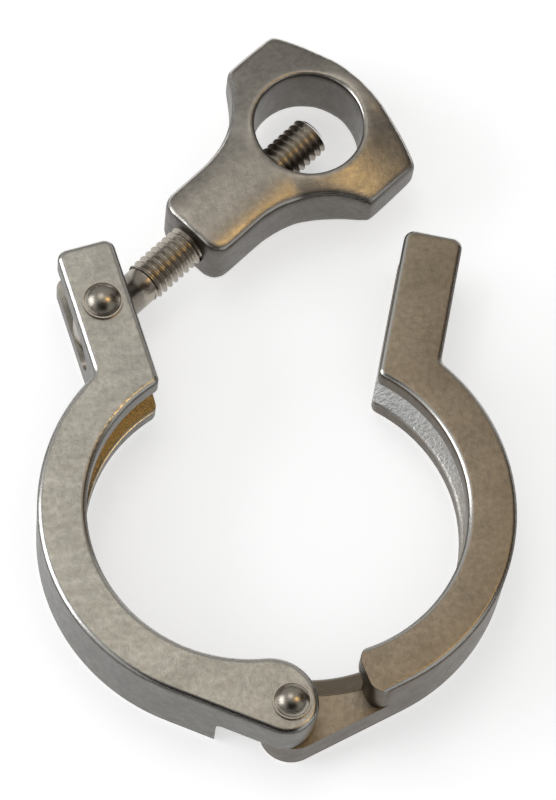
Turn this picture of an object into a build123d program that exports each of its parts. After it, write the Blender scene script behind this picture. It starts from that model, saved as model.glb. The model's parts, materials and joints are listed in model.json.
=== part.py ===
from build123d import *
import math
import os

# Hinged sanitary clamp for a pair of 2 inch ferrules (64 mm flanges). Millimetres, +Z up.
# The origin is on the bore axis of the bolt-side half, at mid-height, where the gasket of a closed
# joint lies. Closed, the two halves mirror each other about the plane X = 0: hinge at -Y, lugs at +Y.
# The ring half is then swung open about the hinge pin, and the bolt is swung out of its slot.

# Castings: ring
body_height = 18.0
lip_radius = 28.75
groove_depth = 4.5
groove_floor_width = 6.6
groove_flank_angle = 20.0
groove_corner_radius = 0.8
ring_wall = 4.4
edge_radius = 1.1

# Castings: hinge end
hinge_offset = 37.6
knuckle_radius = 5.8
knuckle_setback = 0.9
nose_radius = 8.6
lap_clearance = 0.3
relief_radius = 13.0
relief_corner_radius = 1.2

# Castings: lugs
pivot_x = 17.5
pivot_y = 44.4
lug_splay = 5.5
lug_width = 10.9
lug_reach = 12.0
lug_corner_radius = 2.0
lug_root_radius = 1.6
lug_toe_radius = 1.6
slot_depth = 20.5
slot_clearance = 0.4

# Rivets
pin_radius = 2.5
hinge_head_radius = 3.45
pivot_head_radius = 3.7
head_brim = 0.6
brim_step = 0.25
dome_height = 2.3
tail_flare = 0.7
pin_clearance = 0.08

# Swing bolt, 5/16-18 UNC
thread_diameter = 7.94
eye_radius = 5.2
eye_height = 7.7
shank_radius = 3.55
thread_start = 10.5
bolt_length = 56.0
thread_chamfer = 0.7
thread_clearance = 0.06

# Wing nut
nut_position = 22.5
nut_height = 14.4
hub_radius = 7.8
hub_length = 11.0
hub_corner_radius = 3.0
flank_angle = 55.0
wing_shoulder = 2.87
wing_span = 38.4
wing_length = 12.4
wing_height = 6.0
crown_radius = 48.0
wing_corner_radius = 3.0
ring_hole_radius = 10.2
ring_hole_wall = 3.7
ring_hole_edge_radius = 0.6
nut_edge_radius = 2.4
mouth_chamfer = 1.0

# Pose as the clamp lies
opening_angle = 17.4
bolt_angle = 33.0

# Derived sizes
mid_height = body_height / 2
groove_radius = lip_radius + groove_depth
outer_radius = groove_radius + ring_wall
thread_radius = thread_diameter / 2
slot_height = eye_height + 2 * slot_clearance
flank_radius = (wing_span / 2 - hub_radius - wing_shoulder) / (1 - math.cos(math.radians(flank_angle)))
hinge_point = Vector(0, -hinge_offset)


def polar(length, angle, start=Vector(0, 0)):
    """Point at a length and an angle in degrees from a start point."""
    return start + Vector(length, 0).rotate(Axis.Z, angle)


def circle_meeting(near, near_radius, far_radius):
    """Point at far_radius from the bore axis and near_radius from a point, on the ring's side."""
    reach = near.length
    along = (reach**2 + far_radius**2 - near_radius**2) / (2 * reach)
    across = math.sqrt(far_radius**2 - along**2)
    direction = near.normalized()
    side = Vector(-direction.Y, direction.X)
    return direction * along + side * across


def line_circle(point, direction, radius):
    """Where a line leaves a circle about the bore axis, going along the direction."""
    unit = direction.normalized()
    foot = point - unit * point.dot(unit)
    return foot + unit * math.sqrt(radius**2 - foot.dot(foot))


def arc_about(centre, start, end, clockwise=True):
    """Circular edge from start to end about a centre."""
    first = math.degrees(math.atan2(start.Y - centre.Y, start.X - centre.X))
    last = math.degrees(math.atan2(end.Y - centre.Y, end.X - centre.X))
    sweep = (first - last) % 360 if clockwise else -((last - first) % 360)
    middle = polar((start - centre).length, first - sweep / 2, centre)
    return ThreePointArc(start, middle, end)


def half_outline():
    """Plan of the ring-side half when closed: ring, lug and knuckle as one face."""
    pivot = Vector(pivot_x, pivot_y)
    up = polar(1, 90 - lug_splay)
    out = polar(1, -lug_splay)
    tip = pivot + up * lug_reach
    inner_tip = tip - out * (lug_width / 2)
    outer_tip = tip + out * (lug_width / 2)
    toe = line_circle(inner_tip, up, lip_radius)
    root = line_circle(outer_tip, up, outer_radius)

    knuckle = Vector(knuckle_setback, -hinge_offset)
    nose = circle_meeting(knuckle, nose_radius - knuckle_radius, lip_radius + nose_radius)
    nose_start = nose * (lip_radius / nose.length)
    nose_end = nose + (knuckle - nose).normalized() * nose_radius
    down = math.degrees(math.atan2(knuckle.Y, knuckle.X))
    lean = math.degrees(math.acos((outer_radius - knuckle_radius) / knuckle.length))
    ring_touch = polar(outer_radius, down + lean)
    knuckle_touch = polar(knuckle_radius, down + lean, knuckle)

    plan = make_face(
        [
            Line(toe, inner_tip),
            Line(inner_tip, outer_tip),
            Line(outer_tip, root),
            arc_about(Vector(0, 0), root, ring_touch),
            Line(ring_touch, knuckle_touch),
            arc_about(knuckle, knuckle_touch, nose_end),
            arc_about(nose, nose_end, nose_start),
            arc_about(Vector(0, 0), nose_start, toe, clockwise=False),
        ]
    )
    for corner, radius in (
        (inner_tip, lug_corner_radius),
        (outer_tip, lug_corner_radius),
        (toe, lug_toe_radius),
        (root, lug_root_radius),
    ):
        plan = fillet(plan.vertices().sort_by_distance(corner)[0], radius)
    return plan


def ferrule_groove():
    """Ring that the two ferrule flanges fill: a trapezoid with sloping flanks, turned about the bore."""
    slope = math.tan(math.radians(groove_flank_angle))
    inside = lip_radius - groove_depth
    floor = groove_floor_width / 2
    mouth = floor + (groove_radius - inside) * slope
    section = Polygon(
        (inside, -mouth), (groove_radius, -floor), (groove_radius, floor), (inside, mouth), align=None
    )
    section = fillet(section.vertices().group_by(Axis.X)[-1], groove_corner_radius)
    return revolve(Plane.XZ * section, Axis.Z)


def lug_frame():
    """Frame at the bolt pivot of the ring-side lug, +Y along the lug towards its tip."""
    return Pos(pivot_x, pivot_y, 0) * Rot(0, 0, -lug_splay)


def lug_slot():
    """Round-bottomed slot through the lug and out of its tip, as deep as slot_depth."""
    half = slot_height / 2
    bottom = lug_reach - slot_depth
    width = 3 * lug_width
    channel = Pos(0, bottom + half + slot_depth, 0) * Box(width, 2 * slot_depth, slot_height)
    return lug_frame() * (channel + Pos(0, bottom + half, 0) * Rot(0, 90, 0) * Cylinder(half, width))


def lap_relief():
    """What is cut above the ring half's tongue: a drum about the hinge pin with a rounded floor."""
    drum = Pos(0, 0, -lap_clearance / 2) * extrude(Circle(relief_radius), body_height)
    drum = fillet(drum.edges().group_by(Axis.Z)[0], relief_corner_radius)
    return Pos(hinge_point) * drum


def cast_half():
    """Ring-side half with full thickness all along, before its own lap and holes are cut."""
    body = extrude(half_outline(), mid_height, both=True)
    rims = body.edges().group_by(Axis.Z)
    body = fillet(rims[0] + rims[-1], edge_radius)
    return body - ferrule_groove() - lug_slot()


def pin_hole(radius, x, y, countersunk):
    """Hole for a rivet, with the countersink that its peened tail fills."""
    hole = extrude(Circle(radius), body_height)
    if countersunk:
        hole += Cone(radius + tail_flare, radius, tail_flare, align=(Align.CENTER, Align.CENTER, Align.MIN))
    return Pos(x, y, -mid_height) * hole


def make_ring_half():
    """Ring half closed: its tongue lies under the bolt half's plate at the hinge."""
    half = cast_half() - lap_relief()
    return half - pin_hole(pin_radius + pin_clearance, 0, -hinge_offset, countersunk=True)


def make_bolt_half():
    """Bolt half: the mirror image, with its plate over the tongue and the bolt's rivet in its lug."""
    half = cast_half() - mirror(lap_relief(), Plane.XY)
    half -= pin_hole(pin_radius, 0, -hinge_offset, countersunk=False)
    half -= pin_hole(pin_radius, pivot_x, pivot_y, countersunk=True)
    return mirror(half, Plane.YZ)


def make_rivet(head_radius, x, y):
    """Rivet with a domed head on its brim, and a tail peened flush into a countersink."""
    dome_radius = head_radius - brim_step
    top = body_height + head_brim
    ball_radius = (dome_radius**2 + dome_height**2) / (2 * dome_height)
    halfway = math.asin(dome_radius / ball_radius) / 2
    crown = (ball_radius * math.sin(halfway), top + dome_height - ball_radius * (1 - math.cos(halfway)))
    profile = make_face(
        [
            Polyline(
                (0, top + dome_height),
                (0, 0),
                (pin_radius + tail_flare, 0),
                (pin_radius, tail_flare),
                (pin_radius, body_height),
                (head_radius, body_height),
                (head_radius, top),
                (dome_radius, top),
            ),
            ThreePointArc((dome_radius, top), crown, (0, top + dome_height)),
        ]
    )
    return Pos(x, y, -mid_height) * revolve(Plane.XZ * profile, Axis.Z)


def bolt_frame():
    """Frame at the bolt's pivot, +X along the bolt, swung out to where it lies."""
    return Pos(-pivot_x, pivot_y, 0) * Rot(0, 0, bolt_angle)


def rod(radius, start, end):
    """Cylinder along +X between two stations."""
    return Pos(start, 0, 0) * Rot(0, 90, 0) * extrude(Circle(radius), end - start)


def make_swing_bolt():
    """Eye bolt: flat eye, plain shank and the thread as a rod of its outside diameter."""
    eye = extrude(Circle(eye_radius), eye_height / 2, both=True)
    eye = fillet(eye.edges(), edge_radius / 2)
    thread = rod(thread_radius, thread_start, bolt_length)
    thread = chamfer(thread.edges().filter_by(GeomType.CIRCLE), thread_chamfer)
    bolt = eye + rod(shank_radius, 0, thread_start + thread_chamfer) + thread
    bolt -= extrude(Circle(pin_radius + pin_clearance), eye_height, both=True)
    return bolt_frame() * bolt


def nut_outline():
    """Plan of the wing nut: narrow hub, hollow flanks, square wing ends and a bowed crown."""
    waist = Vector(hub_length, hub_radius)
    sweep = math.radians(flank_angle)
    flank_end = waist + Vector(math.sin(sweep), 1 - math.cos(sweep)) * flank_radius
    half_sweep = sweep / 2
    flank_middle = waist + Vector(math.sin(half_sweep), 1 - math.cos(half_sweep)) * flank_radius
    span = wing_span / 2
    wing_start = flank_end + Vector(1 / math.tan(sweep), 1) * (span - flank_end.Y)
    wing_end = wing_start + Vector(wing_length, 0)
    crown_rise = crown_radius - math.sqrt(crown_radius**2 - span**2)
    crown = Vector(wing_end.X + crown_rise, 0)
    edges = [
        Line((0, 0), (0, hub_radius)),
        Line((0, hub_radius), waist),
        ThreePointArc(waist, flank_middle, flank_end),
        Line(flank_end, wing_start),
        Line(wing_start, wing_end),
        RadiusArc(wing_end, crown, crown_radius),
        Line(crown, (0, 0)),
    ]
    side = make_face(edges)
    corners = [side.vertices().sort_by_distance(corner)[0] for corner in (wing_start, wing_end)]
    side = fillet(corners, wing_corner_radius)
    hub_corner = side.vertices().sort_by_distance(Vector(0, hub_radius))[0]
    side = fillet(hub_corner, hub_corner_radius)
    return side + mirror(side, Plane.XZ), crown.X


def crowned_bar(length):
    """Bar along X, wider than the wings and bowed on both sides, to give the nut its height."""
    reach = wing_span / 2
    rise = (nut_height - wing_height) / 2
    bow_radius = (reach**2 + rise**2) / (2 * rise)
    overhang = reach + nut_edge_radius
    edge = nut_height / 2 - bow_radius + math.sqrt(bow_radius**2 - overhang**2)
    section = make_face(
        [
            ThreePointArc((-overhang, edge), (0, nut_height / 2), (overhang, edge)),
            Line((overhang, edge), (overhang, -edge)),
            ThreePointArc((overhang, -edge), (0, -nut_height / 2), (-overhang, -edge)),
            Line((-overhang, -edge), (-overhang, edge)),
        ]
    )
    return extrude(Plane.YZ * section, length, both=True)


def make_wing_nut():
    """Cast wing nut: a tapped hub that widens into two wings about a large round hole."""
    outline, crown = nut_outline()
    nut = extrude(outline, nut_height, both=True) & crowned_bar(2 * crown)
    rims = nut.edges().filter_by(lambda edge: abs(edge.center().Z) > wing_height / 4)
    nut = fillet(rims, nut_edge_radius)

    hole_x = crown - ring_hole_wall - ring_hole_radius
    nut -= Pos(hole_x, 0, 0) * extrude(Circle(ring_hole_radius), nut_height, both=True)
    nut -= rod(thread_radius + thread_clearance, 0, hole_x)
    walls = nut.faces().filter_by(GeomType.CYLINDER)
    hole = walls.sort_by(lambda face: abs(face.radius - ring_hole_radius))[0]
    nut = fillet(hole.edges().filter_by(GeomType.LINE, reverse=True), ring_hole_edge_radius)
    mouth = nut.faces().sort_by(Axis.X)[0].inner_wires()[0]
    nut = chamfer(mouth.edges(), mouth_chamfer)
    return bolt_frame() * Pos(nut_position, 0, 0) * nut


def swung_open(half):
    """Ring half turned about the hinge pin from the closed clamp to where it lies."""
    return Pos(hinge_point) * Rot(0, 0, -opening_angle) * Pos(-hinge_point) * half


os.makedirs("parts", exist_ok=True)
pieces = {
    "bolt_half": make_bolt_half(),
    "ring_half": swung_open(make_ring_half()),
    "hinge_rivet": make_rivet(hinge_head_radius, 0, -hinge_offset),
    "pivot_rivet": make_rivet(pivot_head_radius, -pivot_x, pivot_y),
    "swing_bolt": make_swing_bolt(),
    "wing_nut": make_wing_nut(),
}
for name, shape in pieces.items():
    export_step(shape, f"parts/{name}.step")
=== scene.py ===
"""Looks of a hinged sanitary clamp: cast stainless halves, domed rivets, a swing bolt and its wing nut.

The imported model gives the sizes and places. This file adds the rolled thread of the swing bolt, the
soft shape of the cast nut, the rounded shoulder of the ring half, the finish of each piece, and a
plain studio. All lengths are in metres, and +Z is up.
"""

import collections
import json
import math

import bpy
from mathutils import Matrix, Vector


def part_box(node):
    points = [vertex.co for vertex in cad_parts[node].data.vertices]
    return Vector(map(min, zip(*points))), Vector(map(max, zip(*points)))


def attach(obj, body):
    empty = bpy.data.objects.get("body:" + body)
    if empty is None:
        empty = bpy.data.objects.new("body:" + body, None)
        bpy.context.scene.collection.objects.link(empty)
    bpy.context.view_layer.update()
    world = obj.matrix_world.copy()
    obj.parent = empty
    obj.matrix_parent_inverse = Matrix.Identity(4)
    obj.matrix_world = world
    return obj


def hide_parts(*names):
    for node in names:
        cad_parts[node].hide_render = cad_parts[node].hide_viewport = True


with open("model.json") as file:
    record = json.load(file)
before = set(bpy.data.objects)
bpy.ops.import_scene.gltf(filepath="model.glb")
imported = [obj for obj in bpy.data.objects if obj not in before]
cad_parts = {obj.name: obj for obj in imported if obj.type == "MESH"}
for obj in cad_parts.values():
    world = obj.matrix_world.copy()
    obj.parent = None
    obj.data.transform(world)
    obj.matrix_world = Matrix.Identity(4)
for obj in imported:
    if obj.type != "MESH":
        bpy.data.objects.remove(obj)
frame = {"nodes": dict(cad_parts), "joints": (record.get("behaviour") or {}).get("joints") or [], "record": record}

bl_info = {
    "name": "Hinged Clamp Finish",
    "version": (1, 0, 0),
    "blender": (4, 5, 0),
    "location": "3D Viewport > Sidebar > Clamp",
    "description": "Dresses a hinged sanitary clamp: thread, nut, cast stainless finishes and studio",
    "category": "Object",
}

MM = 0.001
UP = Vector((0, 0, 1))
JOINTS = {joint["name"]: joint for joint in frame["joints"]}
PIVOT = Vector(JOINTS["bolt_swing"]["pos_m"])
BOLT_AXIS = Vector(JOINTS["nut_spin"]["axis"]).normalized()
HINGE = Vector(JOINTS["ring_hinge"]["pos_m"])
MOUNTS = {mount["name"]: mount for mount in frame["record"]["mounts"]}
LIP_RADIUS = MOUNTS["ferrule_seat"]["dims"]["r_mm"] * MM


def reach(node, start, axis):
    """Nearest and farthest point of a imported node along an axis, from a start point."""
    along = [(vertex.co - start).dot(axis) for vertex in frame["nodes"][node].data.vertices]
    return min(along), max(along)


BOLT_BACK, BOLT_TIP = reach("swing_bolt", PIVOT, BOLT_AXIS)
THREAD_DIAMETER = reach("swing_bolt", PIVOT, UP)[1] * 2
FLOOR_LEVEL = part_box("bolt_half")[0].z
TOP_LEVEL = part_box("bolt_half")[1].z


# ---------------------------------------------------------------- sizes and colours

def length(title, about, millimetres):
    """A length property, given in millimetres."""
    return bpy.props.FloatProperty(
        name=title, description=about, default=millimetres * MM, unit="LENGTH", precision=5
    )


def colour(title, about, code):
    """A colour property, given as an sRGB hex value."""
    return bpy.props.FloatVectorProperty(
        name=title, description=about, default=linear(code), subtype="COLOR", size=4, min=0, max=1
    )


def linear(code):
    """Linear red, green, blue and alpha of an sRGB hex colour."""
    values = [int(code[place : place + 2], 16) / 255 for place in (1, 3, 5)]
    return [v / 12.92 if v <= 0.04045 else ((v + 0.055) / 1.055) ** 2.4 for v in values] + [1.0]


class ClampHalfSizes(bpy.types.PropertyGroup):
    """Sizes of the ring half's shoulder, where its full height ends above the tongue."""

    shoulder_angle: bpy.props.FloatProperty(
        name="Shoulder angle",
        description="From the hinge to the shoulder, about the bore",
        default=math.radians(22.2),
        subtype="ANGLE",
    )
    shoulder_corner: length("Shoulder corner", "Rounding of the shoulder in plan", 2.8)
    shoulder_rim: length("Shoulder rim", "Rounding of the shoulder's upper rim", 1.3)
    ring_width: length("Ring width", "From the lip out to the rim of the ring", 8.9)


class ClampBoltSizes(bpy.types.PropertyGroup):
    """Sizes of the swing bolt."""

    pitch: length("Pitch", "Travel of the 5/16-18 thread in one turn", 25.4 / 18)
    shank_diameter: length("Shank diameter", "Plain shank between the eye and the thread", 7.1)
    thread_start: length("Thread start", "From the pivot to the first turn", 10.5)
    eye_height: length("Eye height", "Height of the eye between the lug plates", 7.7)
    eye_hole: length("Eye hole", "Diameter of the hole that turns on the rivet", 5.16)
    eye_rim: length("Eye rim", "Bevel of the eye's rims", 0.5)
    tip_chamfer: length("Tip chamfer", "Bevel at both ends of the thread", 0.8)


class ClampNutSizes(bpy.types.PropertyGroup):
    """Sizes of the cast wing nut."""

    hub_radius: length("Hub radius", "Half the width of the narrow end", 7.8)
    hub_corner: length("Hub corner", "Rounding of the narrow end in plan", 3.0)
    hub_length: length("Hub length", "Straight part of the hub before the flanks", 11.0)
    flank_radius: length("Flank radius", "Hollow flanks between the hub and the wings", 20.0)
    wing_length: length("Wing length", "Straight end of each wing", 12.4)
    wing_height: length("Wing height", "Thickness of the wings at their ends", 6.6)
    crown_radius: length("Crown radius", "Bow of the far edge", 48.0)
    ridge_width: length("Ridge width", "Level top of the ridge over the bore", 5.0)
    ridge_foot: length("Ridge foot", "Where the ridge runs out into the wings, each side", 18.0)
    hole_radius: length("Hole radius", "The large round hole", 10.2)
    hole_wall: length("Hole wall", "Metal between the hole and the far edge", 3.7)
    boss_wall: length("Boss wall", "Level rim round the hole", 0.9)
    boss_foot: length("Boss foot", "Slope of the boss at half height, out from the rim", 19.0)
    bore_radius: length("Bore radius", "Tapped bore", 4.03)


class ClampColours(bpy.types.PropertyGroup):
    """Colours of the finishes."""

    cast_cool: colour("Bolt-side casting", "Tumbled cast stainless", "#c4c0b6")
    # Painted shade: the ring half is the same metal as the bolt half, tinted darker and warmer.
    cast_with_painted_shade: colour("Ring-side casting", "Tumbled cast stainless, darker and warmer as painted shade", "#a89a86")
    cast_nut: colour("Nut casting", "Tumbled cast stainless", "#bbb4a9")
    rubbed: colour("Rubbed rims", "Cast stainless where the stones rubbed it bright", "#e0ddd6")
    # Painted shade: this colour darkens the tint on upright walls.
    painted_wall_shade: colour("Wall shade", "Painted shade that darkens the tint on upright walls", "#a6a6a8")
    # Painted reflections: the brown groove stands in for a warm reflection, the white groove for the lit floor
    # mirrored; their sand relief is real.
    groove_painted_warm_reflection: colour("Bolt-side groove", "Groove, brown as a painted warm reflection", "#94825f")
    groove_painted_bright_reflection: colour("Ring-side groove", "Groove as blasted, white as a painted reflection of the lit floor", "#f6f6f4")
    # Darker tone of both grooves towards the hinge.
    groove_hinge_tone: colour("Groove soot", "Both grooves towards the hinge", "#857969")
    turned: colour("Turned stainless", "Rivets and bolt", "#aca498")
    floor: colour("Floor", "Plain pale floor", "#f4f4f4")


# ---------------------------------------------------------------- mesh helpers

MERGE = MM * 0.001  # vertices nearer than this are one
OVERSHOOT = MM  # a cutter reaches this far past what it cuts
SMOOTH_UNDER = math.radians(32)  # faces that meet flatter than this are shaded as one curve


def select_only(piece=None):
    """Leave edit mode and select just this piece, or nothing."""
    if bpy.context.object and bpy.context.object.mode == "EDIT":
        bpy.ops.object.mode_set(mode="OBJECT")
    bpy.ops.object.select_all(action="DESELECT")
    if piece:
        piece.select_set(True)
        bpy.context.view_layer.objects.active = piece


def named(name):
    """Name the primitive that was just added and return it."""
    piece = bpy.context.object
    piece.name = name
    piece.data.name = name
    return piece


def apply_modifier(piece, kind, **settings):
    """Add a modifier, set it and apply it."""
    select_only(piece)
    modifier = piece.modifiers.new(kind.title(), kind)
    for key, value in settings.items():
        setattr(modifier, key, value)
    bpy.ops.object.modifier_apply(modifier=modifier.name)


def combine(piece, tool, operation):
    """Boolean of a piece with a tool, which is then removed."""
    apply_modifier(piece, "BOOLEAN", object=tool, operation=operation, solver="EXACT")
    bpy.data.objects.remove(tool, do_unlink=True)


def settle(piece, matrix):
    """Put a piece in place with its origin left at the world origin."""
    select_only(piece)
    piece.matrix_world = matrix
    bpy.ops.object.transform_apply(location=True, rotation=True, scale=True)


def dress(piece, material, angle):
    """Shade a new piece smooth across edges flatter than the angle, and give it its material."""
    select_only(piece)
    bpy.ops.object.shade_smooth_by_angle(angle=angle)
    piece.data.materials.clear()
    piece.data.materials.append(material)


# ---------------------------------------------------------------- swing bolt

THREAD_STEPS = 40
THREAD_DEPTH = 0.6134  # of the pitch, for a rolled 60 degree thread
RIM_SEGMENTS = 64


def thread_profile(pitch, diameter):
    """One pitch of a rolled 60 degree thread as (along, radius) points, from root to root."""
    depth = THREAD_DEPTH * pitch
    root = diameter / 2 - depth
    # Share of the pitch, and share of the depth: rounded root, flank, rounded crest, flank.
    shares = (
        (0.00, 0.0),
        (0.09, 0.0),
        (0.14, 0.05),
        (0.41, 0.93),
        (0.455, 1.0),
        (0.545, 1.0),
        (0.59, 0.93),
        (0.86, 0.05),
        (0.91, 0.0),
        (1.00, 0.0),
    )
    return [(along * pitch, root + height * depth) for along, height in shares]


def polyline(name, points):
    """A chain of edges through points in the XY plane, extruded from one vertex."""
    select_only()
    bpy.ops.mesh.primitive_plane_add(size=MM)
    line = named(name)
    bpy.ops.object.mode_set(mode="EDIT")
    bpy.ops.mesh.select_all(action="SELECT")
    bpy.ops.mesh.merge(type="CENTER")
    last = Vector((0, 0, 0))
    for number, point in enumerate(points):
        step = Vector((*point, 0)) - last
        if number == 0:
            bpy.ops.transform.translate(value=step)
        else:
            bpy.ops.mesh.extrude_region_move(TRANSFORM_OT_translate={"value": step})
        last = Vector((*point, 0))
    bpy.ops.object.mode_set(mode="OBJECT")
    return line


def cut_square(piece, along, keep_far):
    """Cut a piece square to X, cap it, and keep the far or the near side."""
    select_only(piece)
    bpy.ops.object.mode_set(mode="EDIT")
    bpy.ops.mesh.select_all(action="SELECT")
    bpy.ops.mesh.bisect(
        plane_co=(along, 0, 0),
        plane_no=(1, 0, 0),
        use_fill=True,
        clear_inner=keep_far,
        clear_outer=not keep_far,
    )
    bpy.ops.object.mode_set(mode="OBJECT")


def cylinder_along_x(name, radius, start, end, bevel=0.0):
    """Closed cylinder on the X axis, with both rims bevelled if asked."""
    select_only()
    bpy.ops.mesh.primitive_cylinder_add(
        vertices=RIM_SEGMENTS,
        radius=radius,
        depth=end - start,
        location=((start + end) / 2, 0, 0),
        rotation=(0, math.pi / 2, 0),
    )
    rod = named(name)
    bpy.ops.object.transform_apply(location=True, rotation=True, scale=True)
    if bevel:
        apply_modifier(rod, "BEVEL", width=bevel, segments=2, limit_method="ANGLE")
    return rod


def disc(name, radius, height, bevel=0.0):
    """Closed cylinder on the Z axis about the pivot, with both rims bevelled if asked."""
    select_only()
    bpy.ops.mesh.primitive_cylinder_add(vertices=RIM_SEGMENTS, radius=radius, depth=height)
    plate = named(name)
    if bevel:
        apply_modifier(plate, "BEVEL", width=bevel, segments=3, limit_method="ANGLE")
    return plate


def threaded_rod(sizes):
    """The rolled thread: one pitch screwed along X, cut square and bevelled at both ends."""
    turns = math.ceil((BOLT_TIP - sizes.thread_start) / sizes.pitch) + 2
    thread = polyline("swing_bolt_steel", thread_profile(sizes.pitch, THREAD_DIAMETER))
    apply_modifier(
        thread,
        "SCREW",
        axis="X",
        screw_offset=sizes.pitch,
        iterations=turns,
        steps=THREAD_STEPS,
        render_steps=THREAD_STEPS,
        use_merge_vertices=True,
        merge_threshold=MERGE,
    )
    settle(thread, Matrix.Translation((sizes.thread_start - sizes.pitch, 0, 0)))
    cut_square(thread, sizes.thread_start, keep_far=True)
    cut_square(thread, BOLT_TIP, keep_far=False)
    select_only(thread)
    bpy.ops.object.mode_set(mode="EDIT")
    bpy.ops.mesh.select_all(action="SELECT")
    bpy.ops.mesh.remove_doubles(threshold=MERGE)
    bpy.ops.mesh.normals_make_consistent(inside=False)
    bpy.ops.object.mode_set(mode="OBJECT")
    blank = cylinder_along_x(
        "blank", THREAD_DIAMETER / 2, sizes.thread_start, BOLT_TIP, sizes.tip_chamfer
    )
    combine(thread, blank, "INTERSECT")
    return thread


class CLAMP_OT_swing_bolt(bpy.types.Operator):
    """Model the swing bolt: eye, plain shank and rolled thread"""

    bl_idname = "clamp.swing_bolt"
    bl_label = "Swing Bolt"

    def execute(self, context):
        sizes = context.scene.clamp_bolt_sizes
        bolt = threaded_rod(sizes)
        shank_end = sizes.thread_start + sizes.tip_chamfer
        shank = cylinder_along_x("shank", sizes.shank_diameter / 2, 0, shank_end)
        combine(bolt, shank, "UNION")
        eye = disc("eye", -BOLT_BACK, sizes.eye_height, sizes.eye_rim)
        combine(bolt, eye, "UNION")
        hole = disc("hole", sizes.eye_hole / 2, sizes.eye_height * 2)
        combine(bolt, hole, "DIFFERENCE")
        turn = math.atan2(BOLT_AXIS.y, BOLT_AXIS.x)
        settle(bolt, Matrix.Translation(PIVOT) @ Matrix.Rotation(turn, 4, "Z"))
        dress(bolt, rolled_stainless(context.scene.clamp_colours.turned), SMOOTH_UNDER)
        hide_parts("swing_bolt")
        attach(bolt, "swing_bolt")
        return {"FINISHED"}


# ---------------------------------------------------------------- wing nut

FLANK_ANGLE = math.radians(55)
ARC_STEPS = 14
NUT_BACK, NUT_CROWN = reach("wing_nut", PIVOT, BOLT_AXIS)
NUT_SPAN = reach("wing_nut", PIVOT, UP.cross(BOLT_AXIS))[1]
NUT_HEIGHT = reach("wing_nut", PIVOT, UP)[1]
NUT_GRAIN = 0.4 * MM  # mesh size of the nut
NUT_ROUNDING = 55  # times its mesh is smoothed, which rounds its edges like a casting's
NUT_SMOOTH_UNDER = math.radians(40)
LAID_ALONG_X = Matrix(((0, 0, 1, 0), (1, 0, 0, 0), (0, 1, 0, 0), (0, 0, 0, 1)))


def arc(centre, radius, first, last):
    """Points along an arc between two angles."""
    share = [step / ARC_STEPS for step in range(ARC_STEPS + 1)]
    angles = [first + (last - first) * part for part in share]
    return [(centre[0] + radius * math.cos(a), centre[1] + radius * math.sin(a)) for a in angles]


def nut_outline(sizes):
    """Half plan of the nut, from the middle of the hub's end to the middle of the far edge."""
    corner = sizes.hub_corner
    hub = arc((corner, sizes.hub_radius - corner), corner, math.pi, math.pi / 2)
    flank_centre = (sizes.hub_length, sizes.hub_radius + sizes.flank_radius)
    flank = arc(flank_centre, sizes.flank_radius, -math.pi / 2, FLANK_ANGLE - math.pi / 2)
    wing_x = flank[-1][0] + (NUT_SPAN - flank[-1][1]) / math.tan(FLANK_ANGLE)
    wing_end = wing_x + sizes.wing_length
    length_along = NUT_CROWN - NUT_BACK
    reach_angle = math.asin(NUT_SPAN / sizes.crown_radius)
    crown_centre = (length_along - sizes.crown_radius, 0)
    crown = arc(crown_centre, sizes.crown_radius, reach_angle, 0)
    return [(0, 0), *hub, *flank, (wing_x, NUT_SPAN), (wing_end, NUT_SPAN), *crown[1:]]


def mirrored(points):
    """A half outline closed with its mirror image across X."""
    return points + [(x, -y) for x, y in reversed(points) if abs(y) > MERGE]


def slab(name, points, low, high):
    """Solid with this outline between two heights."""
    plate = polyline(name, points)
    select_only(plate)
    bpy.ops.object.mode_set(mode="EDIT")
    bpy.ops.mesh.select_all(action="SELECT")
    bpy.ops.transform.translate(value=(0, 0, low))
    bpy.ops.mesh.edge_face_add()
    bpy.ops.mesh.extrude_region_move(TRANSFORM_OT_translate={"value": (0, 0, high - low)})
    bpy.ops.mesh.select_all(action="SELECT")
    bpy.ops.mesh.normals_make_consistent(inside=False)
    bpy.ops.object.mode_set(mode="OBJECT")
    return plate


def ridge_height(sizes, across):
    """Half thickness of the nut at a distance from its middle: level ridge, hollow slope, flat wing."""
    level, foot, thin = sizes.ridge_width / 2, sizes.ridge_foot, sizes.wing_height / 2
    share = min(max((abs(across) - level) / (foot - level), 0), 1)
    return thin + (NUT_HEIGHT - thin) * (1 + math.cos(math.pi * share)) / 2


def ridge_bar(sizes, length_along):
    """Bar along X whose section is the ridge with the wings on both sides."""
    half_width = NUT_SPAN + OVERSHOOT
    steps = 2 * ARC_STEPS
    across = [-half_width + 2 * half_width * step / steps for step in range(steps + 1)]
    top = [(y, ridge_height(sizes, y)) for y in across]
    section = top + [(y, -z) for y, z in reversed(top)]
    bar = slab("ridge", section, -OVERSHOOT, length_along + OVERSHOOT)
    settle(bar, LAID_ALONG_X)
    return bar


def half_boss(sizes, along, side):
    """Cone on one face of the nut that leads from the wings up to the rim of the hole."""
    rim = sizes.hole_radius + sizes.boss_wall
    select_only()
    bpy.ops.mesh.primitive_cone_add(
        vertices=RIM_SEGMENTS, radius1=rim + sizes.boss_foot, radius2=rim, depth=NUT_HEIGHT
    )
    boss = named("boss")
    lift = Matrix.Translation((along, 0, side * NUT_HEIGHT / 2))
    turn = Matrix.Rotation(0 if side > 0 else math.pi, 4, "X")
    settle(boss, lift @ turn)
    return boss


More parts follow.
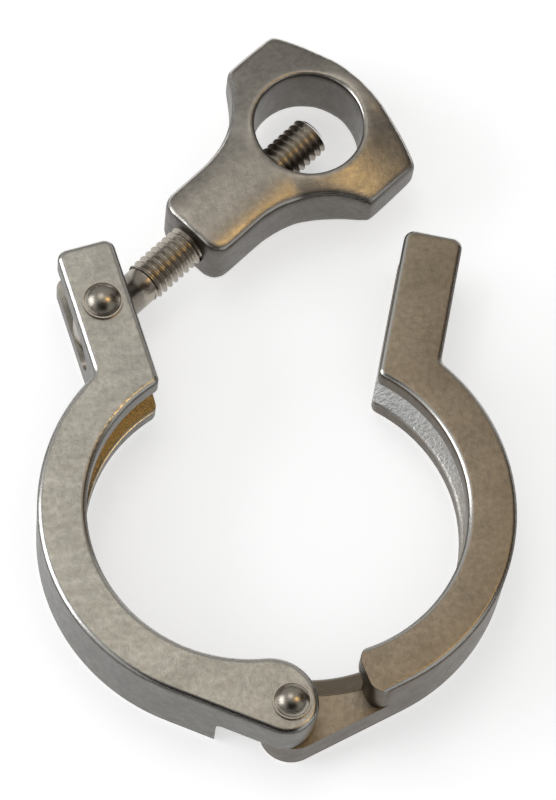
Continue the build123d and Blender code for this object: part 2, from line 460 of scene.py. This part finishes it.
def cast_nut_body(sizes):
    """The nut along X: ridge and bosses cut to its plan and holed, then softened and bored."""
    length_along = NUT_CROWN - NUT_BACK
    hole_place = length_along - sizes.hole_wall - sizes.hole_radius
    nut = ridge_bar(sizes, length_along)
    nut.name = nut.data.name = "wing_nut_cast"
    for side in (1, -1):
        combine(nut, half_boss(sizes, hole_place, side), "UNION")
    plan = slab("plan", mirrored(nut_outline(sizes)), -2 * NUT_HEIGHT, 2 * NUT_HEIGHT)
    combine(nut, plan, "INTERSECT")
    hole = disc("hole", sizes.hole_radius, 4 * NUT_HEIGHT)
    settle(hole, Matrix.Translation((hole_place, 0, 0)))
    combine(nut, hole, "DIFFERENCE")
    apply_modifier(nut, "REMESH", mode="VOXEL", voxel_size=NUT_GRAIN)
    apply_modifier(nut, "SMOOTH", factor=0.5, iterations=NUT_ROUNDING)
    bore = cylinder_along_x("bore", sizes.bore_radius, -OVERSHOOT, hole_place)
    combine(nut, bore, "DIFFERENCE")
    return nut


class CLAMP_OT_wing_nut(bpy.types.Operator):
    """Model the cast wing nut: ridge, boss, wings and large hole, softened like a casting"""

    bl_idname = "clamp.wing_nut"
    bl_label = "Wing Nut"

    def execute(self, context):
        sizes = context.scene.clamp_nut_sizes
        nut = cast_nut_body(sizes)
        turn = math.atan2(BOLT_AXIS.y, BOLT_AXIS.x)
        place = Matrix.Translation(PIVOT + BOLT_AXIS * NUT_BACK)
        settle(nut, place @ Matrix.Rotation(turn, 4, "Z"))
        tint = context.scene.clamp_colours.cast_nut
        material = tumbled_casting("cast stainless, tumbled, nut", tint, SOFT_EDGE)
        dress(nut, material, NUT_SMOOTH_UNDER)
        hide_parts("wing_nut")
        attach(nut, "wing_nut")
        return {"FINISHED"}


# ---------------------------------------------------------------- ring half

HINGE_STOP = math.radians(1.4)  # the hinge stops this far from closed
OPENED_BY = HINGE_STOP - math.radians(JOINTS["ring_hinge"]["range_deg"][0])
LAP_FLOOR = -0.149 * MM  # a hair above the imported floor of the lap, so that the cut leaves it alone
SKIN = 0.15 * MM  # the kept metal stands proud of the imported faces, so that the cut leaves them alone
KEPT_ARC = math.radians(16)
KEPT_BOTTOM = -3 * MM
WASTE_BEFORE = math.radians(9)
WASTE_AFTER = math.radians(11)
WASTE_MARGIN = 4 * MM
WASTE_RISE = 2 * MM
RIM_TILT = 1.0  # radians; only rims that turn more sharply than this are rounded
FACET = MM * 0.0005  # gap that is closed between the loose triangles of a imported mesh


def ring_half_centre():
    """Bore axis of the ring half as it lies: the clamp's bore axis turned open about the hinge pin."""
    return HINGE + Matrix.Rotation(-OPENED_BY, 3, "Z") @ (-HINGE)


def sector(inner, outer, first, last, rounding=0.0):
    """Plan of a piece of the ring between two angles from the hinge, its first corners rounded."""
    start, end = first - math.pi / 2, last - math.pi / 2
    inset = rounding / ((inner + outer) / 2)
    outer_edge = arc((0, 0), outer, end, start + inset)
    inner_edge = arc((0, 0), inner, start + inset, end)
    corner_out = corner(outer - rounding, start + inset, rounding, -1)
    corner_in = corner(inner + rounding, start + inset, rounding, 1)
    return outer_edge + corner_out + corner_in + inner_edge


def corner(middle, angle, rounding, side):
    """Quarter circle at the end of a sector; side -1 is its outer corner and 1 its inner one."""
    if not rounding:
        return []
    centre = (middle * math.cos(angle), middle * math.sin(angle))
    if side < 0:
        return arc(centre, rounding, angle, angle - math.pi / 2)[1:]
    return arc(centre, rounding, angle - math.pi / 2, angle - math.pi)[1:-1]


def shoulder_waste(sizes):
    """Metal to cut away above the tongue: all of it there, less the rounded end that stays."""
    shoulder, outside = sizes.shoulder_angle, LIP_RADIUS + sizes.ring_width
    kept_plan = sector(
        LIP_RADIUS - SKIN, outside + SKIN, shoulder, shoulder + KEPT_ARC, sizes.shoulder_corner
    )
    kept = slab("kept", kept_plan, KEPT_BOTTOM, TOP_LEVEL + SKIN)
    apply_modifier(
        kept, "BEVEL", width=sizes.shoulder_rim, segments=4, limit_method="ANGLE", angle_limit=RIM_TILT
    )
    waste_plan = sector(
        LIP_RADIUS - WASTE_MARGIN,
        outside + WASTE_MARGIN,
        shoulder - WASTE_BEFORE,
        shoulder + WASTE_AFTER,
    )
    waste = slab("waste", waste_plan, LAP_FLOOR, TOP_LEVEL + WASTE_RISE)
    combine(waste, kept, "DIFFERENCE")
    settle(waste, Matrix.Translation(ring_half_centre()) @ Matrix.Rotation(-OPENED_BY, 4, "Z"))
    return waste


def closed_copy(node, name):
    """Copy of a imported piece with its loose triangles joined, ready to be cut."""
    select_only(frame["nodes"][node])
    bpy.ops.object.duplicate()
    copy = named(name)
    bpy.ops.mesh.customdata_custom_splitnormals_clear()
    bpy.ops.object.mode_set(mode="EDIT")
    bpy.ops.mesh.select_all(action="SELECT")
    bpy.ops.mesh.remove_doubles(threshold=FACET)
    bpy.ops.object.mode_set(mode="OBJECT")
    return copy


class CLAMP_OT_ring_half(bpy.types.Operator):
    """Round off the shoulder of the ring half above the hinge"""

    bl_idname = "clamp.ring_half"
    bl_label = "Ring Half"

    def execute(self, context):
        colours = context.scene.clamp_colours
        half = closed_copy("ring_half", "ring_half_cast")
        combine(half, shoulder_waste(context.scene.clamp_half_sizes), "DIFFERENCE")
        # Painted reflection: the ring-side groove is tinted white like the lit floor it mirrors.
        groove = Groove(ring_half_centre(), colours.groove_painted_bright_reflection)
        # Painted shade: the ring half gets the darker, warmer tint.
        material = tumbled_casting("cast stainless, tumbled, painted shade", colours.cast_with_painted_shade, groove=groove)
        dress(half, material, SMOOTH_UNDER)
        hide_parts("ring_half")
        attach(half, "ring_half")
        return {"FINISHED"}


# ---------------------------------------------------------------- material helpers

# A groove's tint is a painted reflection.
Groove = collections.namedtuple("Groove", "centre tint")
COLOUR_A, COLOUR_B, COLOUR_OUT = 6, 7, 2  # places of a Mix node's sockets when it mixes colours
NUMBER_A, NUMBER_B, NUMBER_OUT = 2, 3, 0  # and when it mixes numbers
WHITE = (1, 1, 1, 1)


def new_material(name):
    """Empty node material with its shader; returns the material, its tree and the shader."""
    material = bpy.data.materials.new(name)
    material.use_nodes = True
    tree = material.node_tree
    tree.nodes.clear()
    shader = add(tree, "ShaderNodeBsdfPrincipled")
    add(tree, "ShaderNodeOutputMaterial", {"Surface": shader.outputs["BSDF"]})
    return material, tree, shader


def add(tree, kind, sockets=None, stops=(), **settings):
    """Add a node with its settings, its sockets' values or links, and its grey ramp's stops."""
    node = tree.nodes.new(kind)
    for key, value in settings.items():
        setattr(node, key, value)
    for place, value in (sockets or {}).items():
        if isinstance(value, bpy.types.NodeSocket):
            tree.links.new(value, node.inputs[place])
        else:
            node.inputs[place].default_value = value
    if stops:
        ramp = node.color_ramp.elements
        while len(ramp) < len(stops):
            ramp.new(0.5)
        for stop, (place, grey) in zip(ramp, stops):
            stop.position = place
            stop.color = (grey, grey, grey, 1)
    return node


def per_metre(millimetres):
    """Scale of a pattern whose features are this many millimetres apart."""
    return 1 / (millimetres * MM)


# ---------------------------------------------------------------- cast finish

# Real sizes in millimetres. The sand of the shell leaves pits of 0.1 to 0.2 mm, which are too fine
# to show, so the mottle, the grain and the sand of the groove are drawn as coarse as they need.
CLOUD_SPACING = 7.0  # patches where the tumbling stones rubbed more or less
MOTTLE_SPACING = 1.1
STREAK_SPACING = 2.4  # scuffs that the stones left
GRAIN_SPACING = 0.32
SAND_SPACING = 0.75
STREAK_STRETCH = (0.35, 1.6, 1.0)

# How much a surface looks up or down, from 0 on a wall to 1 on a flat, and what shows there.
RUBBED_FROM = ((0.0, 0.0), (0.55, 0.0), (0.7, 1.0))
CRISP_EDGE = (0.9, 0.99)  # the rubbed rim ends before the flat
SOFT_EDGE = (0.72, 0.86)  # on the softly rounded nut it ends sooner, so that its slopes stay satin
# Painted shade on walls: full below 0.5, gone by 0.72.
PAINTED_WALL_SHADE_STOPS = ((0.0, 1.0), (0.5, 1.0), (0.72, 0.0))
MOTTLE_STOPS = ((0.32, 0.72), (0.68, 1.0))
CLOUD_STOPS = ((0.3, 0.82), (0.7, 1.0))

SATIN_ROUGHNESS, SATIN_SPREAD = 0.27, 0.22
RUBBED_ROUGHNESS = 0.24
GROOVE_ROUGHNESS = 0.36
MOTTLE_HEIGHT, GRAIN_HEIGHT, SAND_HEIGHT = 0.7, 0.45, 3.2
RUBBED_DEPTH = 0.25  # share of the relief that is left on rubbed rims
CAST_BUMP, CAST_RELIEF = 0.5, 0.12 * MM

# Where the groove lies: out from the lips, and up or down from the middle of the half.
GROOVE_STARTS = (LIP_RADIUS + 0.1 * MM, LIP_RADIUS + 0.5 * MM)
GROOVE_ENDS = (LIP_RADIUS + 4.6 * MM, LIP_RADIUS + 4.7 * MM)
GROOVE_SIDES = (4.9 * MM, 5.1 * MM)
# Where the grooves' darker hinge tone fades out.
HINGE_TONE_FADES = (-18 * MM, 22 * MM)  # along the clamp, from the hinge to the lugs


def groove_mask(tree, place, centre):
    """1 on the walls of the ferrule groove, which lie outside the lips and below both faces."""
    centred = add(
        tree,
        "ShaderNodeMapping",
        {"Vector": place, "Location": (-centre.x, -centre.y, 0), "Scale": (1, 1, 0)},
    )
    radius = add(tree, "ShaderNodeVectorMath", {0: centred.outputs["Vector"]}, operation="LENGTH")
    split = add(tree, "ShaderNodeSeparateXYZ", {"Vector": place})
    height = add(tree, "ShaderNodeMath", {0: split.outputs["Z"]}, operation="ABSOLUTE")
    edges = (
        (radius.outputs["Value"], GROOVE_STARTS, 0.0, 1.0),
        (radius.outputs["Value"], GROOVE_ENDS, 1.0, 0.0),
        (height.outputs[0], GROOVE_SIDES, 1.0, 0.0),
    )
    mask = 1.0
    for measure, (first, last), before, after in edges:
        edge = add(
            tree,
            "ShaderNodeMapRange",
            {"Value": measure, "From Min": first, "From Max": last, "To Min": before, "To Max": after},
        )
        both = {0: mask, 1: edge.outputs[0]}
        mask = add(tree, "ShaderNodeMath", both, operation="MULTIPLY").outputs[0]
    return mask


def cast_colour(tree, place, flat, mottle, tint):
    """Tint of the melt, clouded and mottled, and darker on upright walls with painted shade."""
    clouds = add(
        tree,
        "ShaderNodeTexNoise",
        {"Vector": place, "Scale": per_metre(CLOUD_SPACING), "Detail": 4.0, "Roughness": 0.55},
    )
    speckled = add(tree, "ShaderNodeValToRGB", {"Fac": mottle}, MOTTLE_STOPS)
    cloudy = add(tree, "ShaderNodeValToRGB", {"Fac": clouds.outputs["Fac"]}, CLOUD_STOPS)
    # Painted shade: upright walls are multiplied by the wall shade colour.
    upright = add(tree, "ShaderNodeValToRGB", {"Fac": flat}, PAINTED_WALL_SHADE_STOPS)
    painted_shade_tint = bpy.context.scene.clamp_colours.painted_wall_shade
    shade = add(
        tree,
        "ShaderNodeMix",
        {0: upright.outputs["Color"], COLOUR_A: WHITE, COLOUR_B: painted_shade_tint},
        data_type="RGBA",
    )
    colour = speckled.outputs["Color"]
    for layer in (cloudy.outputs["Color"], shade.outputs[COLOUR_OUT], tint):
        colour = add(
            tree,
            "ShaderNodeMix",
            {0: 1.0, COLOUR_A: colour, COLOUR_B: layer},
            data_type="RGBA",
            blend_type="MULTIPLY",
        ).outputs[COLOUR_OUT]
    return colour


def cast_look(tree, coords, tint, edge):
    """Colour, roughness, relief and its depth on flats, walls and rubbed rims."""
    place = coords.outputs["Object"]
    tilt = add(tree, "ShaderNodeSeparateXYZ", {"Vector": coords.outputs["Normal"]})
    flat = add(tree, "ShaderNodeMath", {0: tilt.outputs["Z"]}, operation="ABSOLUTE").outputs[0]
    rubbed_stops = (*RUBBED_FROM, (edge[0], 1.0), (edge[1], 0.0))
    rubbed = add(tree, "ShaderNodeValToRGB", {"Fac": flat}, rubbed_stops).outputs["Color"]
    mottle = add(
        tree,
        "ShaderNodeTexNoise",
        {"Vector": place, "Scale": per_metre(MOTTLE_SPACING), "Detail": 5.0, "Roughness": 0.65},
    ).outputs["Fac"]
    grain = add(
        tree,
        "ShaderNodeTexNoise",
        {"Vector": place, "Scale": per_metre(GRAIN_SPACING), "Detail": 2.0, "Roughness": 0.55},
    )
    drawn_out = add(tree, "ShaderNodeMapping", {"Vector": place, "Scale": STREAK_STRETCH})
    streaks = add(
        tree,
        "ShaderNodeTexNoise",
        {
            "Vector": drawn_out.outputs["Vector"],
            "Scale": per_metre(STREAK_SPACING),
            "Detail": 3.0,
            "Roughness": 0.55,
        },
    )
    scuffed = {0: streaks.outputs["Fac"], 1: SATIN_SPREAD, 2: SATIN_ROUGHNESS}
    satin = add(tree, "ShaderNodeMath", scuffed, operation="MULTIPLY_ADD").outputs[0]
    fine = {0: grain.outputs["Fac"], 1: GRAIN_HEIGHT}
    fine_relief = add(tree, "ShaderNodeMath", fine, operation="MULTIPLY").outputs[0]
    both = {0: mottle, 1: MOTTLE_HEIGHT, 2: fine_relief}
    relief = add(tree, "ShaderNodeMath", both, operation="MULTIPLY_ADD").outputs[0]
    look = {
        "colour": cast_colour(tree, place, flat, mottle, tint),
        "roughness": satin,
        "relief": relief,
        "depth": 1.0,
    }
    rim = {
        "colour": bpy.context.scene.clamp_colours.rubbed,
        "roughness": RUBBED_ROUGHNESS,
        "depth": RUBBED_DEPTH,
    }
    return overlaid(tree, rubbed, look, rim)


def groove_look(tree, place, tint):
    """Look of the blasted groove: sandy, tinted as a painted reflection, and darker towards the hinge."""
    split = add(tree, "ShaderNodeSeparateXYZ", {"Vector": place})
    first, last = HINGE_TONE_FADES
    lugward = add(
        tree,
        "ShaderNodeMapRange",
        {"Value": split.outputs["Y"], "From Min": first, "From Max": last},
    )
    # The groove is darker towards the hinge.
    hinge_tone = bpy.context.scene.clamp_colours.groove_hinge_tone
    colour = add(
        tree,
        "ShaderNodeMix",
        {0: lugward.outputs[0], COLOUR_A: hinge_tone, COLOUR_B: tint},
        data_type="RGBA",
    )
    sand = add(
        tree,
        "ShaderNodeTexNoise",
        {"Vector": place, "Scale": per_metre(SAND_SPACING), "Detail": 3.0, "Roughness": 0.7},
    )
    coarse = {0: sand.outputs["Fac"], 1: SAND_HEIGHT}
    return {
        "colour": colour.outputs[COLOUR_OUT],
        "roughness": GROOVE_ROUGHNESS,
        "relief": add(tree, "ShaderNodeMath", coarse, operation="MULTIPLY").outputs[0],
        "depth": 1.0,
    }


def overlaid(tree, mask, look, over):
    """A look with another one laid over it where a mask is 1."""
    result = dict(look)
    for part, value in over.items():
        if part == "colour":
            below, above, mixed, kind = COLOUR_A, COLOUR_B, COLOUR_OUT, "RGBA"
        else:
            below, above, mixed, kind = NUMBER_A, NUMBER_B, NUMBER_OUT, "FLOAT"
        mix = add(tree, "ShaderNodeMix", {0: mask, below: look[part], above: value}, data_type=kind)
        result[part] = mix.outputs[mixed]
    return result


def tumbled_casting(name, tint, edge=CRISP_EDGE, groove=None):
    """Investment-cast stainless, blasted and tumbled."""
    # The eye sees satin, softly mottled flats, bright thin rims where the stones rubbed, painted shade
    # on the walls, and a sandy groove that the stones never reached, tinted as a painted reflection.
    material, tree, shader = new_material(name)
    coords = add(tree, "ShaderNodeTexCoord")
    place = coords.outputs["Object"]
    look = cast_look(tree, coords, tint, edge)
    if groove:
        mask = groove_mask(tree, place, groove.centre)
        look = overlaid(tree, mask, look, groove_look(tree, place, groove.tint))
    height = add(
        tree, "ShaderNodeMath", {0: look["relief"], 1: look["depth"]}, operation="MULTIPLY"
    )
    bump = add(
        tree,
        "ShaderNodeBump",
        {"Height": height.outputs[0], "Strength": CAST_BUMP, "Distance": CAST_RELIEF},
    )
    tree.links.new(look["colour"], shader.inputs["Base Color"])
    tree.links.new(look["roughness"], shader.inputs["Roughness"])
    tree.links.new(bump.outputs["Normal"], shader.inputs["Normal"])
    shader.inputs["Metallic"].default_value = 1.0
    return material


# ---------------------------------------------------------------- turned and rolled finishes

BUFF_SPACING = 0.5  # mm, scuffs of handling on a rivet's head
TOOL_SPACING = 0.12  # mm, feed of the turning tool
TOOL_STRETCH = (1.0, 1.0, 6.0)
TOOL_BUMP, TOOL_RELIEF = 0.25, 0.03 * MM
BUFFED_ROUGHNESS, BUFFED_SPREAD = 0.19, 0.22
ROLL_SPACING = 0.6  # mm, scuffs that the nut leaves on the thread
ROLLED_ROUGHNESS, ROLLED_SPREAD = 0.2, 0.2


def turned_stainless(name, tint):
    """Turned and buffed stainless."""
    # The eye sees a small bright mirror, a little hazy, with fine rings about the rivet's axis.
    material, tree, shader = new_material(name)
    place = add(tree, "ShaderNodeTexCoord").outputs["Object"]
    scuffs = add(
        tree,
        "ShaderNodeTexNoise",
        {"Vector": place, "Scale": per_metre(BUFF_SPACING), "Detail": 4.0, "Roughness": 0.55},
    )
    hazy = {0: scuffs.outputs["Fac"], 1: BUFFED_SPREAD, 2: BUFFED_ROUGHNESS}
    haze = add(tree, "ShaderNodeMath", hazy, operation="MULTIPLY_ADD")
    stacked = add(tree, "ShaderNodeMapping", {"Vector": place, "Scale": TOOL_STRETCH})
    rings = add(
        tree,
        "ShaderNodeTexNoise",
        {
            "Vector": stacked.outputs["Vector"],
            "Scale": per_metre(TOOL_SPACING),
            "Detail": 2.0,
            "Roughness": 0.55,
        },
    )
    bump = add(
        tree,
        "ShaderNodeBump",
        {"Height": rings.outputs["Fac"], "Strength": TOOL_BUMP, "Distance": TOOL_RELIEF},
    )
    tree.links.new(haze.outputs[0], shader.inputs["Roughness"])
    tree.links.new(bump.outputs["Normal"], shader.inputs["Normal"])
    shader.inputs["Base Color"].default_value = tint
    shader.inputs["Metallic"].default_value = 1.0
    return material


def rolled_stainless(tint):
    """Rolled and burnished stainless."""
    # The eye sees a smooth, evenly bright thread, a little hazy where the nut has run.
    material, tree, shader = new_material("rolled stainless, burnished")
    place = add(tree, "ShaderNodeTexCoord").outputs["Object"]
    scuffs = add(
        tree,
        "ShaderNodeTexNoise",
        {"Vector": place, "Scale": per_metre(ROLL_SPACING), "Detail": 3.0, "Roughness": 0.55},
    )
    hazy = {0: scuffs.outputs["Fac"], 1: ROLLED_SPREAD, 2: ROLLED_ROUGHNESS}
    haze = add(tree, "ShaderNodeMath", hazy, operation="MULTIPLY_ADD")
    tree.links.new(haze.outputs[0], shader.inputs["Roughness"])
    shader.inputs["Base Color"].default_value = tint
    shader.inputs["Metallic"].default_value = 1.0
    return material


def finish_node(node, material):
    """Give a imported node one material."""
    piece = frame["nodes"][node]
    if not piece.material_slots:
        piece.data.materials.append(material)
    for holder in piece.material_slots:
        holder.material = material


class CLAMP_OT_bolt_half(bpy.types.Operator):
    """Give the bolt half its cast finish"""

    bl_idname = "clamp.bolt_half"
    bl_label = "Bolt Half"

    def execute(self, context):
        colours = context.scene.clamp_colours
        # Painted reflection: the bolt-side groove is tinted brown like the warm light it mirrors.
        groove = Groove(Vector((0, 0, 0)), colours.groove_painted_warm_reflection)
        material = tumbled_casting("cast stainless, tumbled", colours.cast_cool, groove=groove)
        finish_node("bolt_half", material)
        return {"FINISHED"}


class CLAMP_OT_rivets(bpy.types.Operator):
    """Give both rivets their turned finish"""

    bl_idname = "clamp.rivets"
    bl_label = "Rivets"

    def execute(self, context):
        material = turned_stainless("turned stainless, buffed", context.scene.clamp_colours.turned)
        for node in ("hinge_rivet", "pivot_rivet"):
            finish_node(node, material)
        return {"FINISHED"}


# ---------------------------------------------------------------- studio

CAMERA_LENS = 180.0  # mm, on film 36 mm wide
FILM_WIDTH = 36.0
CAMERA_NEAR = 0.01
CAMERA_AIM = Vector((11.34, 22.70, 0)) * MM
CAMERA_PLACE = Vector((-93.63, -246.69, 678.14)) * MM
CAMERA_ROLL = 9.67  # degrees

Lamp = collections.namedtuple("Lamp", "name place size radiance tint lights_floor")
Card = collections.namedtuple("Card", "name place size tint")
LAMPS = (
    Lamp("window", (-1.45, 0.35, 0.62), (1.1, 0.8), 3.4, "#f6f9ff", True),
    Lamp("ceiling_panel", (-0.10, 0.34, 1.0), (0.42, 0.42), 1.7, "#fffdf8", True),
    Lamp("warm_lamp", (0.62, -0.12, 1.25), (0.11, 0.34), 15.0, "#ffcf70", False),
)
CARDS = (
    Card("black_flag", (-0.25, -0.95, 1.0), (1.7, 1.4), "#050505"),
    Card("brown_card", (1.3, 0.1, 0.7), (1.2, 0.9), "#4a3b2c"),
)
FENCE_RADIUS = 0.18
FENCE_HEIGHT = 0.04
FENCE_TINT = "#060606"
CARD_ROUGHNESS = 0.95
FLOOR_SIZE = 6.0
FLOOR_ROUGHNESS = 0.9
FLOOR_GLOW = 0.52  # what the floor needs, beside its light, to look as pale as its colour
SKY_LIGHT = 0.42


def facing(place, target, roll=0.0):
    """Matrix of a camera or lamp at a place that looks at a target."""
    turn = (target - place).to_track_quat("-Z", "Y").to_matrix().to_4x4()
    return Matrix.Translation(place) @ turn @ Matrix.Rotation(math.radians(roll), 4, "Z")


def add_camera():
    """Long lens that looks down on the clamp."""
    data = bpy.data.cameras.new("camera")
    data.lens = CAMERA_LENS
    data.sensor_width = FILM_WIDTH
    data.clip_start = CAMERA_NEAR
    camera = bpy.data.objects.new("camera", data)
    camera.matrix_world = facing(CAMERA_PLACE, CAMERA_AIM, CAMERA_ROLL)
    bpy.context.scene.collection.objects.link(camera)
    bpy.context.scene.camera = camera


def add_lamp(plan):
    """Rectangular area lamp; its power follows from the brightness its face should have."""
    data = bpy.data.lights.new(plan.name, "AREA")
    data.shape = "RECTANGLE"
    data.size, data.size_y = plan.size
    data.energy = plan.radiance * math.pi * plan.size[0] * plan.size[1]
    data.color = linear(plan.tint)[:3]
    lamp = bpy.data.objects.new(plan.name, data)
    lamp.matrix_world = facing(Vector(plan.place), Vector((0, 0, 0)))
    lamp.visible_camera = False
    lamp.visible_diffuse = plan.lights_floor
    bpy.context.scene.collection.objects.link(lamp)


def only_mirrored(card, tint):
    """Matt colour for a card that only the polished metal mirrors."""
    material, tree, shader = new_material(card.name)
    shader.inputs["Base Color"].default_value = linear(tint)
    shader.inputs["Roughness"].default_value = CARD_ROUGHNESS
    shader.inputs["Specular IOR Level"].default_value = 0
    card.data.materials.append(material)
    card.visible_camera = False
    card.visible_diffuse = False
    card.visible_transmission = False
    card.visible_shadow = False


def add_card(plan):
    """Card beside the lamps that the polished edges mirror."""
    select_only()
    bpy.ops.mesh.primitive_plane_add(size=1.0)
    card = named(plan.name)
    sized = Matrix.Diagonal((*plan.size, 1, 1))
    settle(card, facing(Vector(plan.place), Vector((0, 0, 0))) @ sized)
    only_mirrored(card, plan.tint)


def add_dark_fence():
    """Low black fence round the clamp, which draws the dark outline of its rounded edges."""
    select_only()
    bpy.ops.mesh.primitive_cylinder_add(
        vertices=RIM_SEGMENTS,
        radius=FENCE_RADIUS,
        depth=FENCE_HEIGHT,
        end_fill_type="NOTHING",
        location=(CAMERA_AIM.x, CAMERA_AIM.y, FLOOR_LEVEL + FENCE_HEIGHT / 2),
    )
    fence = named("dark_fence")
    bpy.ops.object.transform_apply(location=True, rotation=True, scale=True)
    only_mirrored(fence, FENCE_TINT)


def pale_backdrop(tree, surface):
    """Add a plain glow to a surface for the rays that see the background, so that it stays pale."""
    path = add(tree, "ShaderNodeLightPath")
    seen = path.outputs["Is Camera Ray"]
    for ray in ("Is Glossy Ray", "Is Transmission Ray"):
        seen = add(
            tree, "ShaderNodeMath", {0: seen, 1: path.outputs[ray]}, operation="MAXIMUM"
        ).outputs[0]
    glow = add(tree, "ShaderNodeMath", {0: seen, 1: FLOOR_GLOW}, operation="MULTIPLY")
    lit = add(tree, "ShaderNodeEmission", {"Strength": glow.outputs[0], "Color": WHITE})
    return add(tree, "ShaderNodeAddShader", {0: surface, 1: lit.outputs[0]}).outputs[0]


def add_floor(tint):
    """Plain pale floor at the level that the clamp lies on."""
    select_only()
    bpy.ops.mesh.primitive_plane_add(size=FLOOR_SIZE, location=(0, 0, FLOOR_LEVEL))
    floor = named("floor")
    bpy.ops.object.transform_apply(location=True, rotation=True, scale=True)
    # The eye sees plain matt card that takes the clamp's soft shadow.
    material, tree, shader = new_material("matt white card")
    shader.inputs["Base Color"].default_value = tint
    shader.inputs["Roughness"].default_value = FLOOR_ROUGHNESS
    shader.inputs["Specular IOR Level"].default_value = 0
    output = next(node for node in tree.nodes if node.type == "OUTPUT_MATERIAL")
    tree.links.new(pale_backdrop(tree, shader.outputs["BSDF"]), output.inputs["Surface"])
    floor.data.materials.append(material)


def set_world():
    """Even pale surroundings."""
    world = bpy.data.worlds.new("surroundings")
    bpy.context.scene.world = world
    world.use_nodes = True
    background = world.node_tree.nodes["Background"]
    background.inputs["Color"].default_value = WHITE
    background.inputs["Strength"].default_value = SKY_LIGHT


class CLAMP_OT_studio(bpy.types.Operator):
    """Add the floor, lamps, cards, surroundings and camera"""

    bl_idname = "clamp.studio"
    bl_label = "Studio"

    def execute(self, context):
        add_floor(context.scene.clamp_colours.floor)
        set_world()
        for plan in LAMPS:
            add_lamp(plan)
        for plan in CARDS:
            add_card(plan)
        add_dark_fence()
        add_camera()
        context.scene.view_settings.view_transform = "Standard"
        return {"FINISHED"}


# ---------------------------------------------------------------- panel and registration

class CLAMP_PT_panel(bpy.types.Panel):
    """Steps and settings of the clamp"""

    bl_label = "Hinged Clamp"
    bl_idname = "CLAMP_PT_panel"
    bl_space_type = "VIEW_3D"
    bl_region_type = "UI"
    bl_category = "Clamp"

    def draw(self, context):
        for operator in OPERATORS:
            self.layout.operator(operator.bl_idname)
        for setting in SETTINGS:
            group = getattr(context.scene, setting)
            for name in group.__annotations__:
                self.layout.prop(group, name)


OPERATORS = (
    CLAMP_OT_bolt_half,
    CLAMP_OT_ring_half,
    CLAMP_OT_swing_bolt,
    CLAMP_OT_wing_nut,
    CLAMP_OT_rivets,
    CLAMP_OT_studio,
)
SETTINGS = {
    "clamp_half_sizes": ClampHalfSizes,
    "clamp_bolt_sizes": ClampBoltSizes,
    "clamp_nut_sizes": ClampNutSizes,
    "clamp_colours": ClampColours,
}
CLASSES = (*SETTINGS.values(), *OPERATORS, CLAMP_PT_panel)


def register():
    """Register the classes and the settings they share."""
    for item in CLASSES:
        bpy.utils.register_class(item)
    for setting, group in SETTINGS.items():
        setattr(bpy.types.Scene, setting, bpy.props.PointerProperty(type=group))


def unregister():
    """Take the settings and classes away again."""
    for setting in reversed(SETTINGS):
        delattr(bpy.types.Scene, setting)
    for item in reversed(CLASSES):
        bpy.utils.unregister_class(item)


def main():
    """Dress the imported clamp."""
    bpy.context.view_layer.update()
    register()
    bpy.ops.clamp.bolt_half()
    bpy.ops.clamp.ring_half()
    bpy.ops.clamp.swing_bolt()
    bpy.ops.clamp.wing_nut()
    bpy.ops.clamp.rivets()
    bpy.ops.clamp.studio()


if __name__ == "__main__":
    main()
